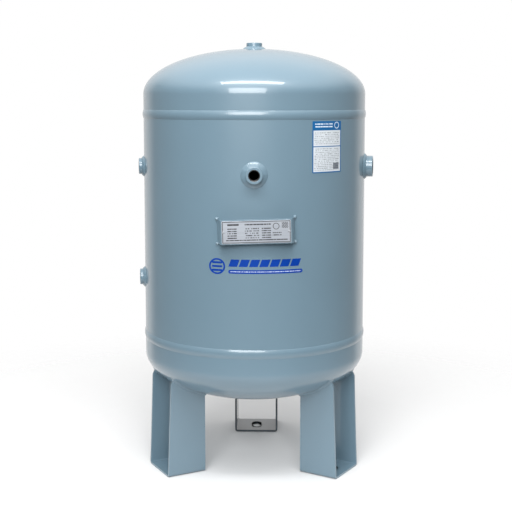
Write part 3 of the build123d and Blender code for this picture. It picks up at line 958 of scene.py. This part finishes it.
def film_piece(name, parts, azimuth, height, width, tall):
    """Film on the shell: a point at x on a part lies where a line straight in from x meets the
    shell, at azimuth + asin(x / R)."""
    plates = []
    for x, y, cells in parts:
        turn = azimuth + np.arcsin(x / shell_radius)
        skins = on_shell(turn, height + y, film), on_shell(turn, height + y, 0.0)
        plates.append(thick_plate(cells, *skins, print_place(x, y, width, tall)))
    points, faces = joined([plate[:2] for plate in plates])
    spots = np.concatenate([plate[2] for plate in plates])
    return put_piece(name, points, faces, print_map=spots)


label = Print("label_film", label_width, label_tall)
edge = 1 - label.box(-33.3, 33.3, -46.1, 46.1)
header = label.box(-36, 36, 31, 50)
divider = label.box(-36, 36, 0.2, 2.0)
blue = label.either(edge, header, divider)
grey = label.either(
    label.rows(-31, 31, 4.5, 28.5, 3.4, 0.5),
    label.rows(-31, 31, -44.5, -2.5, 3.3, 0.5, 17.0),
)
white_marks = label.either(label.rows(-30, 12, 35.5, 45.5, 5.0, 0.40, 5.0),
                           label.ring(23, 40.5, 6.2, 1.3))
dark = label.box(14, 29, -42, -30)
paper = label.blend(label.noise(25, 2.0), tone(196, 203, 209), tone(210, 216, 221))
colour = label.blend(grey * 0.7, paper, tone(82, 90, 98))
colour = label.blend(blue, colour, tone(20, 92, 146))
colour = label.blend(white_marks * 0.85, colour, tone(225, 235, 242))
colour = label.blend(dark * 0.8, colour, tone(70, 78, 88))
label.surface(Base_Color=colour, Roughness=0.3 + 0.08 * (label.noise(90, 2.0) - 0.5),
              Normal=label.bump(label.noise(55, 2.0), 0.06 * mm, 0.35), Coat_Weight=0.3,
              Coat_Roughness=0.2, IOR=1.48)
sheet_part = rounded_sheet(label_width, label_tall, 1.5 * mm, 40, 12)
label_piece = film_piece("instruction_label_film", [sheet_part], label_azimuth, label_height,
                         label_width, label_tall)
dress(label_piece, "instruction_label", "label_film", label)

# --------------------------------------
# Front decal: cut from royal blue film and laid on piece by piece: a round badge with
# three bars across it, a row of slanted blocks, and a long round-ended stripe below them.
decal_width = 174.5 * mm
decal_tall = 30 * mm
decal_azimuth = radians(0.9)
decal_height = plate_height - 67 * mm
badge = decal_tall / 2
badge_x = badge - decal_width / 2
badge_rim = 3 * mm
badge_bar = 3.6 * mm
block_gap = 3 * mm
block_slant = 5 * mm
block_tall = decal_tall / 2 - 1.5 * mm
stripe_start = 2 * badge + 2 * block_gap
stripe_length = decal_width - stripe_start
stripe_tall = 7 * mm
stripe_rise = 2 * mm
block_count = 7
block_pitch = (stripe_length - block_slant) / block_count

grid, faces = pierced_grid(np.linspace(badge - badge_rim, badge, 4), np.linspace(0, tau, 73))
parts = [(badge_x + grid[:, 0] * np.cos(grid[:, 1]), grid[:, 0] * np.sin(grid[:, 1]), faces)]
for row in (-1, 0, 1):
    x, y, faces = rounded_sheet(1.3 * badge, badge_bar, badge_bar / 2, 12, 1)
    parts.append((x + badge_x, y + 2 * badge_bar * row, faces))
for index in range(block_count):
    x, y, faces = rounded_sheet(block_pitch - block_gap, block_tall, 0.5 * mm, 8, 6, block_slant)
    middle = stripe_start - decal_width / 2 + index * block_pitch + (block_pitch - block_gap) / 2
    parts.append((x + middle, y + block_tall / 2, faces))
x, y, faces = rounded_sheet(stripe_length, stripe_tall, stripe_tall / 2, 70, 1)
parts.append((x + stripe_start / 2, y + stripe_rise + (stripe_tall - decal_tall) / 2, faces))

decal = Print("royal_blue_film", decal_width, decal_tall)
dots = decal.rows(-48, 84, -11.1, -7.9, 3.2, 0.44, 3.0)
blue = decal.blend(decal.noise(30, 3.0), tone(0, 52, 140), tone(2, 60, 154))
decal.surface(Base_Color=decal.blend(dots * 0.8, blue, tone(214, 224, 236)),
              Roughness=0.3 + 0.08 * (decal.noise(80, 2.0) - 0.5),
              Normal=decal.bump(decal.noise(120, 2.0), 0.04 * mm, 0.4), Coat_Weight=0.15,
              Coat_Roughness=0.2, IOR=1.48)
decal_piece = film_piece("front_decal_film", parts, decal_azimuth, decal_height, decal_width,
                         decal_tall)
dress(decal_piece, "front_decal", "decal_film", decal)

# --------------------------------------
# Studio: a pale floor that fades out round the tank, a room with a white ceiling and back
# and dim walls that the camera sees as white, three soft lamps, and the camera in front.
scene = bpy.context.scene
floor_size = 2.6
floor_whole = 0.45
floor_gone = 1.15
lines = np.linspace(-floor_size / 2, floor_size / 2, 13)
grid, faces = pierced_grid(lines, lines)
floor_mesh = bpy.data.meshes.new("studio_floor")
floor_mesh.from_pydata(np.column_stack([grid, 0 * grid[:, 0]]), [], faces)
floor = bpy.data.objects.new("studio_floor", floor_mesh)
scene.collection.objects.link(floor)
floor_finish = Finish("pale_floor")
floor_cloud = floor_finish.noise(1.5, 2.0)
floor_reach = floor_finish.add("VectorMath", {"operation": "LENGTH"}, {0: floor_finish.place()},
                               out="Value")
floor_colour = floor_finish.blend(floor_cloud, (0.70, 0.70, 0.70, 1), (0.74, 0.74, 0.74, 1))
floor_finish.surface(Base_Color=floor_colour, Roughness=0.75 + 0.1 * floor_cloud,
                     Alpha=floor_finish.ramp(floor_reach, floor_gone, floor_whole))
floor_mesh.materials.append(floor_finish.material)

room = Finish("white_room", bpy.data.worlds)
way = room.add("TexCoord", out="Generated")
way_back = room.add("SeparateXYZ", {}, {0: way}, out="Y")
way_up = room.add("SeparateXYZ", {}, {0: way}, out="Z")
ceiling = room.ramp(way_up, 0.35, 0.65)
backdrop = room.ramp(way_back, 0.55, 0.75) * (1 - ceiling)
walls = 0.06 + 0.2 * room.ramp(way_back, -0.6, 0.4)
ceiling_light = 1.1
backdrop_light = 0.85
light = walls + (ceiling_light - walls) * ceiling + (backdrop_light - walls) * backdrop
seen = room.add("LightPath", out="Is Camera Ray")
light = room.add("Background", {}, {"Color": (1, 1, 1, 1), "Strength": light + (1 - light) * seen})
room.add("OutputWorld", {}, {"Surface": light})
scene.world = room.material


def soft_lamp(name, place, aim, width, height, power, mirrored=True):
    """A rectangular soft box at a place, turned to face another, that may be kept out of
    reflections."""
    data = bpy.data.lights.new(name, "AREA")
    data.shape = "RECTANGLE"
    data.size = width
    data.size_y = height
    data.energy = power
    lamp = bpy.data.objects.new(name, data)
    lamp.location = place
    way = np.array(aim, float) - np.array(place, float)
    flat = hypot(way[0], way[1])
    lamp.rotation_euler = (pi / 2 + np.arctan2(way[2], flat), 0, np.arctan2(-way[0], way[1]))
    lamp.visible_camera = False
    lamp.visible_glossy = mirrored
    scene.collection.objects.link(lamp)


soft_lamp("key_box", (-0.30, -2.62, 1.58), (0, -0.2, 0.76), 1.75, 1.25, 62)
soft_lamp("high_box", (0, -1.7, 2.3), (0, -0.1, 0.7), 1.6, 0.8, 14, False)
soft_lamp("bar_box", (-0.04, -0.98, 2.15), (0, -0.2, 0.75), 1.6, 0.34, 24)

camera_data = bpy.data.cameras.new("front_camera")
camera_data.lens = 71.55
camera_data.shift_y = -0.1
camera = bpy.data.objects.new("front_camera", camera_data)
camera.location = (0.0035, -2.0865, 0.7454)
camera.rotation_euler = (radians(90 - 5.97), 0, 0)
scene.collection.objects.link(camera)
scene.camera = camera
scene.view_settings.view_transform = "Standard"
